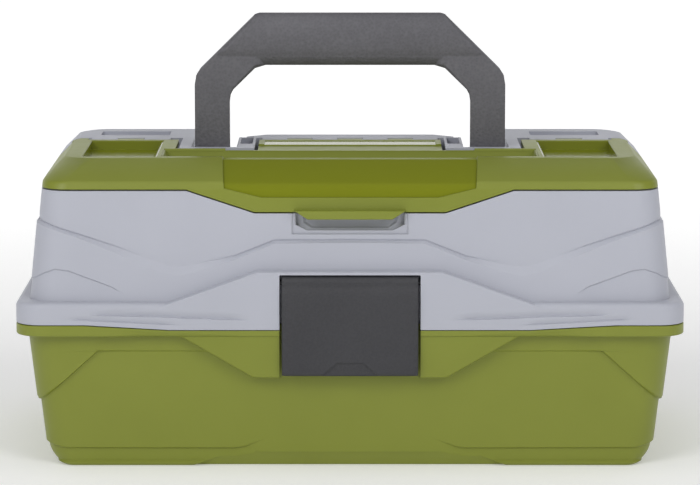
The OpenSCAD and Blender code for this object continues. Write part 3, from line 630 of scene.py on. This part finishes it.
lid = {
    "rimTop": 87.5, "rimOut": 6.3, "lean": 0.098, "shoulder": 2.6, "thick": 1.5, "thickInside": 1.1,
    "foot": 78, "wallSteps": 30, "wallRelief": (79, 143.9), "roomRows": (60, 146), "hingeZ": (70, 92),
    "rimFoot": [(76.3, 0.4), (76.42, 0.12)], "rimRows": (76.7, 84.7, 10), "rimRelief": (76.5, 87.4),
    "crease": 1, "groove": 0.4, "grooveHigh": 3.2,
    "line": 0.6, "lineHigh": 0.8, "lineEnds": [(100, 124), (84, 58)],
    "fold": 0.8, "foldSoft": 0.3, "foldEnds": [(114, 124), (170, 158)],
    "foldSide": 150, "foldRear": (150, 160),
    "apron": [(100.4, -94.99, 84.6), (47.4, -93.945, 103.6), (101.7, -84, 84.5), (47.4, -84, 103.9)],
    "apronEdge": 0.8, "apronOver": 90,
    "dip": ((92, 73.95), (138, 76.6), -94.95, -88.9),
    "latchRoom": ((-35, 35), (-92, -80), (60, 80)),
    "pods": ((49, 92), (-18, 22), (140, 159)),
    "podBack": ((51, 60), (28.4, 30.4), (145, 158)),
    "cheekTop": 156.5, "cheekGap": ((-84.2, 84.2), (43.5, 120), (151, 170)),
    "slot": ((-36, 36), (-120, -87.8), (60, 102.1), 0.6),
    "frameCut": ((-29.8, 29.8), (-120, -83), (121.8, 138), 0, 1),
    "legRoom": ((60.2, 84.2), (74, 120), (145.2, 170)),
    "recessFront": [(22.4, 123.4), (28.8, 126.4), (28.8, 133.2)],
    "recessRear": [(17.5, 125.6), (21.5, 127.6), (23.5, 133.2)],
    "recessY": (-83.6, -77), "mouthY": (-96, -83.5),
    "bowl": ((-87.4, 129.6), 9.6, -40, 40, 64),
}
creaseTop = [(200, 128.6), (161, 128.4), (148.9, 124.6), (136, 120.6), (119.6, 115.3), (96, 106.8),
             (89, 105.2), (82, 106), (59.2, 110.4), (38.5, 118.5), (0, 118.7)]
creaseFoot = [(200, 127.4), (161, 127.2), (148.9, 123.4), (136, 119), (119.6, 112.4), (96, 102.2),
              (89, 100.7), (82, 101.8), (59.2, 108.9), (38.5, 117.2), (0, 117.6)]
cornerFold = [(168, 95), (161, 99), (156.6, 101.7), (150.6, 104.1), (144, 103.2), (122.1, 95.2), (114, 90.4)]
# lines at the foot of the wedges in the rim, their depth, the height over which they fade, their ends
lidWedges = [
    {"line": [(132, 81.9), (128, 81.4), (94, 80.6), (84, 80), (52, 79), (30, 78.4)],
     "deep": 1.2, "soft": 0.2, "fade": 3, "ends": [(134, 124), (50, 62)]},
    {"line": [(144, 79.4), (139, 79), (96, 76.8), (90, 76.4)],
     "deep": 0.9, "soft": 0.2, "fade": 2.4, "ends": [(146, 138), (86, 96)]},
]


def lidWall(z, inset=0):  # the wall above the crease, one crease depth behind the proud panel
    out = lid["rimOut"] + lid["lean"] * (z - lid["rimTop"]) + lid["crease"] + inset
    return rims["halfX"] - out, rims["halfY"] - out, rims["corner"] - inset


def lidLevel(z, inset=0):
    halfX, halfY, radius = lidWall(z, inset)
    return z, halfX, -halfY, halfY, radius


def lidHeight(x, y, z):  # proud below the crease, a shallow groove above it, and the fold at the corners
    top, foot = along(creaseTop, x, 1.2), along(creaseFoot, x, 1.2)
    proud = clamp((top - z) / max(top - foot, 0.5))
    groove = lid["groove"] * clamp((top + lid["grooveHigh"] - z) / lid["grooveHigh"])
    line = lid["line"] * max(0, (top + lid["lineHigh"] - z) / lid["lineHigh"])
    groove += line * max(ease(*ends, x) for ends in lid["lineEnds"])
    fold, soft = along(cornerFold, x, 1), lid["foldSoft"]
    inFold = between(lid["foldEnds"], x) if y < 0 or x > lid["foldSide"] else ease(*lid["foldRear"], x)
    back = lid["fold"] * inFold * ease(fold + soft, fold - soft, z)
    return lid["crease"] * proud - groove * (1 - proud) - back


def lidRimHeight(x, y, z):  # each wedge is deepest just over its line and fades out above it
    if y > 0:
        return 0
    back = 0
    for w in lidWedges:
        line, soft = along(w["line"], x), w["soft"]
        upward = clamp((line + soft + w["fade"] - z) / w["fade"])
        back += w["deep"] * ease(line - soft, line + soft, z) * upward * between(w["ends"], x)
    return -back


cap = {"seam": 144, "seamGap": 0.5, "seamLow": 0.25, "grooveDepth": 2.1, "grooveEnd": 83.2, "deckFront": 20.9,
       "deckFloor": 140.9, "coverRear": 20.4, "lip": [(48.9, 132.7), (83.3, 144)]}
# heights, and how far the side, the front and the rear stand in from the rims
capRows = [(144, 12.9, 12.9, 12.9), (147.4, 13.2, 14, 13.2), (149, 14.2, 15.2, 14.2), (158, 23.2, 35, 23)]


def capForm(inset=0, foot=120):  # closed form of the lid and its cover, drawn in by inset
    levels = [lidLevel(foot, inset), lidLevel(130, inset)]
    for z, side, front, rear in capRows:
        levels.append((z - inset * (z > cap["seam"]), rims["halfX"] - side - inset,
                       front + inset - rims["halfY"], rims["halfY"] - rear - inset, rims["corner"] - inset))
    return ringStack(levels, 12)


def capFront(z):  # where the front of the cap is at a height
    return along([(r[0], r[2] - rims["halfY"]) for r in reversed(capRows)], z)


def seamGroove():  # dark joint round the sides and the front of the cover
    z = (cap["seam"] - cap["seamLow"], cap["seam"] + cap["seamGap"])
    deep, end = cap["grooveDepth"], cap["grooveEnd"]
    ring = cut(ringStack([lidLevel(z[0], -2), lidLevel(z[1], -2)]),
               ringStack([lidLevel(z[0] - 1, deep), lidLevel(z[1] + 1, deep)]))
    slab = (140, 150)
    return cut(ring, block(aside, (cap["deckFront"] - 0.3, behind), slab),
               block((-end, end), (ahead, -60), slab))


def lipZone(footMore, topMore, rear):  # where the cover comes down over the wall of the lid
    foot, top = [(x + dx, z + dz) for (x, z), (dx, dz) in zip(cap["lip"], (footMore, topMore))]
    return wedge(foot, top, ahead, rear)


def funnel(x, y, z, wider):  # block whose top is wider: left, right, front and rear
    bm = block(x, y, z)
    for v in bm.verts:
        if v.co.z > (z[0] + z[1]) / 2:
            v.co.x += wider[1] if v.co.x > (x[0] + x[1]) / 2 else -wider[0]
            v.co.y += wider[3] if v.co.y > (y[0] + y[1]) / 2 else -wider[2]
    return bm


def makeLid():
    skin = ringStack([lidLevel(z) for z in steps(lid["foot"], cap["seam"], lid["wallSteps"])], 10)
    longRuns(skin)
    for line in (creaseTop[1:], creaseFoot[1:], lifted(creaseTop[1:], lid["lineHigh"])):
        foldLine(skin, line)
    for lift in (-lid["foldSoft"], lid["foldSoft"]):
        foldLine(skin, lifted(cornerFold, lift), 3)
    relief(skin, lidWall, lidHeight, *lid["wallRelief"])

    def rimRow(z, inset):
        return rimLevel(z, inset, inset * 0.4)
    top, r = lid["rimTop"], lid["shoulder"]
    rim = ringStack([rimRow(*row) for row in lid["rimFoot"]]
                    + [rimRow(z, 0) for z in steps(*lid["rimRows"])[:-1]]
                    + [rimRow(top - r + r * s, r * (1 - c)) for c, s in arc(0, 90, 15)], 10)
    longRuns(rim)
    for w in lidWedges:
        for lift in (-w["soft"], w["soft"]):
            foldLine(rim, lifted(w["line"], lift), 1.5)
    relief(rim, rimWall, lidRimHeight, *lid["rimRelief"])
    apron = wedgeBlock(lid["apron"])
    upper = [e for e in apron.edges if max(v.co.z for v in e.verts) > lid["apronOver"]]
    rounded(apron, [e for e in upper if min(v.co.y for v in e.verts) < -90], lid["apronEdge"])
    outer = join(skin, rim, apron, wedge(*lid["dip"]))

    def deck(upTo):
        return block(aside, (cap["deckFront"], behind), (cap["deckFloor"], upTo))

    def room(t):
        low, high = lid["roomRows"]
        walls = ringStack([lidLevel(low, t), lidLevel(high, t)], 10)
        return join(walls, ringStack([rimRow(low, t), rimRow(top - r, t), rimRow(top - t, 2 + t)], 10))
    thick, thickInside = lid["thick"], lid["thickInside"]
    outer = cut(outer, room(thick), block(*lid["latchRoom"]), hingeRoom(lid["hingeZ"]), deck(150))
    inside = join(room(thickInside), capForm(thickInside, 100), hingeRoom(lid["hingeZ"]),
                  bothSides(block(*lid["pods"])), keep(deck(170), capForm()))
    inner = keep(join(cadCopy("lid_shell"), cadCopy("lid_compartment"), cadCopy("lid_deck")), inside)
    cheeks = cut(keep(cut(capForm(), capForm(thick, 100)), deck(lid["cheekTop"])), block(*lid["cheekGap"]))
    shell = join(outer, inner, bothSides(block(*lid["podBack"])), cheeks)
    front, rear = lid["recessFront"], lid["recessRear"]
    (recessY, floorY), (mouthY, throatY) = lid["recessY"], lid["mouthY"]
    bowl = join(keep(drawnBlock(front, recessY, rear, floorY), rod(*lid["bowl"])),
                drawnBlock(front, mouthY, front, throatY))
    shell = cut(shell, softBlock(*lid["slot"]), softBlock(*lid["frameCut"]), bowl,
                lipZone((0, -0.35), (7, 1.9), -66.4), seamGroove(), bothSides(block(*lid["legRoom"])))
    piece(shell, "lidShell", ["lid_shell", "lid_compartment", "lid_deck"])


cover = {
    "top": 158, "thick": 1.5, "thickInside": 1.1, "barrels": ((-150, 150), (19, 32), (140, 160)),
    "pocket": ((104, 139), (-54, 15.2), (153.2, 158.4)), "pocketLeft": 3.6, "pocketRear": 0.8,
    "pocketBody": ((98.4, 141.2), (-56, 17.6), (151, 157)),
    "flare": ((120, 134.6), (-54, 15.2), (155.4, 158)), "flareWider": (0, 4.4, 0, 0.6),
    "hollow": ((-98, 98), (-52, -20.4)), "hollowFoot": ((-95, 95), (-49, -21.4), (153.2, 158.4)),
    "hollowWider": (3, 3, 3, 1), "edge": 0.5,
    "panel": ((-45.8, 45.8), (-12.5, 16)), "panelDeep": 0.35,
    "notch": ((48.8, 92.4), (-18.6, 60), (130, 170)),
    "scoop": [((64.4, 144.99), (66, 159)), ((45.3, 140.4), (64.4, 145))], "scoopDeep": 1,
    "lip": ((21.6, 129.9), (28.4, 134.3), -88.8, -81), "lipEdge": 0.6,
}


def inRange(value, span, more=0.05):
    return span[0] - more < value < span[1] + more


# 1 on the cover's polished fields, 2 on the satin scoop in its front, else 0; c is the face's centre in mm
def fieldOf(c, normal):
    x, (y, z) = abs(c[0]), c[1:]
    if z > cover["top"] - 0.01:
        return 0
    scoop = x < 66.2 and 140 < z < 157.6 and y < -58 and y > capFront(z) + 0.6 and normal.y < -0.2
    pocketX, pocketY = cover["pocket"][:2]
    inPocketX = inRange(x, (pocketX[0] - cover["pocketLeft"], pocketX[1]))
    pocket = inPocketX and inRange(y, (pocketY[0], pocketY[1] + 1)) and z > 153
    panel = x < cover["panel"][0][1] and inRange(y, cover["panel"][1]) and normal.z > 0.9
    return 2 if scoop else 1 if pocket or panel else 0


def makeCover():
    zone = join(block(aside, (ahead, cap["coverRear"]), (cap["seam"] + cap["seamGap"], 170)),
                lipZone((0, 0.35), (1.2, 0.7), -60))
    outer = keep(cut(capForm(), capForm(cover["thick"], 100)), zone)
    inner = keep(join(cadCopy("top_cover"), cadCopy("cover_tongue")),
                 join(capForm(cover["thickInside"], 100), block(*cover["barrels"])))
    lip = wedge(*cover["lip"])
    rounded(lip, [e for e in lip.edges if max(v.co.y for v in e.verts) < -85], cover["lipEdge"])
    made = join(outer, inner, bothSides(block(*cover["pocketBody"])), lip)
    edge, left, rear = cover["edge"], cover["pocketLeft"], cover["pocketRear"]
    allRound = (edge, edge, edge, edge)
    edgeZ = (cover["top"] - edge, cover["top"] + 0.2)
    (x0, x1), (y0, y1) = cover["pocket"][:2]
    pockets = bothSides(funnel(*cover["pocket"], (left, 0, 0, rear)))
    flares = bothSides(funnel(*cover["flare"], cover["flareWider"]))
    pocketRims = bothSides(funnel((x0 - left + 0.1, x1), (y0, y1 + rear), edgeZ, allRound))
    hollow = funnel(*cover["hollowFoot"], cover["hollowWider"])
    hollowRim = funnel(*cover["hollow"], edgeZ, allRound)
    panel = block(*cover["panel"], (cover["top"] - cover["panelDeep"], 160))
    scoop = cut(join(*[wedge(low, high, ahead, 0) for low, high in cover["scoop"]]),
                capForm(cover["scoopDeep"], 100))
    made = cut(made, pockets, flares, pocketRims, hollow, hollowRim, panel, bothSides(block(*cover["notch"])),
               scoop, seamGroove())
    bmesh.ops.recalc_face_normals(made, faces=made.faces)
    done = piece(made, "topCover", ["top_cover", "cover_tongue"])
    done.data.materials.append(finishes["greenGloss"])
    done.data.materials.append(finishes["greenSatin"])
    for p in done.data.polygons:
        p.material_index = fieldOf(p.center * 1000, p.normal)


# middle is a place along Y, grip, legTop, legFoot and footTop are heights
handle = {"middle": -5, "halfX": 90, "grip": 214.85, "gripHalf": 13.95, "thick": 7, "leg": 5.45, "legEdge": 5,
          "legTop": 211, "legFoot": 156, "legStart": 45, "foot": 9, "footTop": 157.4}


def makeHandle():
    h = handle
    bar = rod((0, 0), 1, -h["halfX"], h["halfX"], 96)
    bmesh.ops.scale(bar, vec=(1, h["thick"], h["gripHalf"]), verts=bar.verts)
    bmesh.ops.translate(bar, vec=(0, h["middle"], h["grip"]), verts=bar.verts)
    legs = bothSides(softBlock((h["legStart"], 110), (h["middle"] - h["leg"], h["middle"] + h["leg"]),
                               (h["legFoot"], h["legTop"]), 0, h["legEdge"]))
    feet = block((-h["halfX"], h["halfX"]), (h["middle"] - h["foot"], h["middle"] + h["foot"]),
                 (130, h["footTop"]))
    piece(keep(cadCopy("handle"), join(bar, legs, feet)), "carryHandle", ["handle"])


# front: the outline in [y, z] from the barrel down and back up behind the wall
latch = {
    "halfX": 34.8, "axis": (-91.6, 98), "barrel": 3.65, "edge": 0.6,
    "front": [(-94.9, 96.5), (-95.8, 94.5), (-96.6, 92), (-97, 87.5), (-97, 66), (-96.7, 56), (-96, 51.6),
              (-95, 50.3), (-93.6, 50.3), (-93.6, 95)],
    "inside": ((-33.9, 33.9), (-96.3, -80), (40, 110)),
    "thumb": [(15.4, -120, 49.5), (6.6, -120, 57), (15.4, -94.325, 49.5), (6.6, -96.2, 57)],
}


def makeLatch():
    y, z = latch["axis"]
    bend = [(y + latch["barrel"] * c, z + latch["barrel"] * s) for c, s in arc(80, 180)]
    front = prism(bend + latch["front"], -latch["halfX"], latch["halfX"])
    rounded(front, [e for e in front.edges if abs(e.verts[0].co.x - e.verts[1].co.x) < 1
                    and max(v.co.y for v in e.verts) < -94], latch["edge"])
    made = join(front, keep(cadCopy("latch"), block(*latch["inside"])))
    piece(cut(made, wedgeBlock(latch["thumb"])), "frontLatch", ["latch"], "latchPlastic")


def makeInside():
    piece(join(cadCopy("tray_left_half"), cadCopy("tray_right_half")), "liftTray",
          ["tray_left_half", "tray_right_half"])
    for name in frame["nodes"]:
        if "rivets" not in name and ("arm_" in name or "link_" in name or "divider" in name):
            first, *rest = name.split("_")
            piece(cadCopy(name), first + "".join(word.title() for word in rest), [name])


makeBase()
makeLid()
makeCover()
makeHandle()
makeLatch()
makeInside()
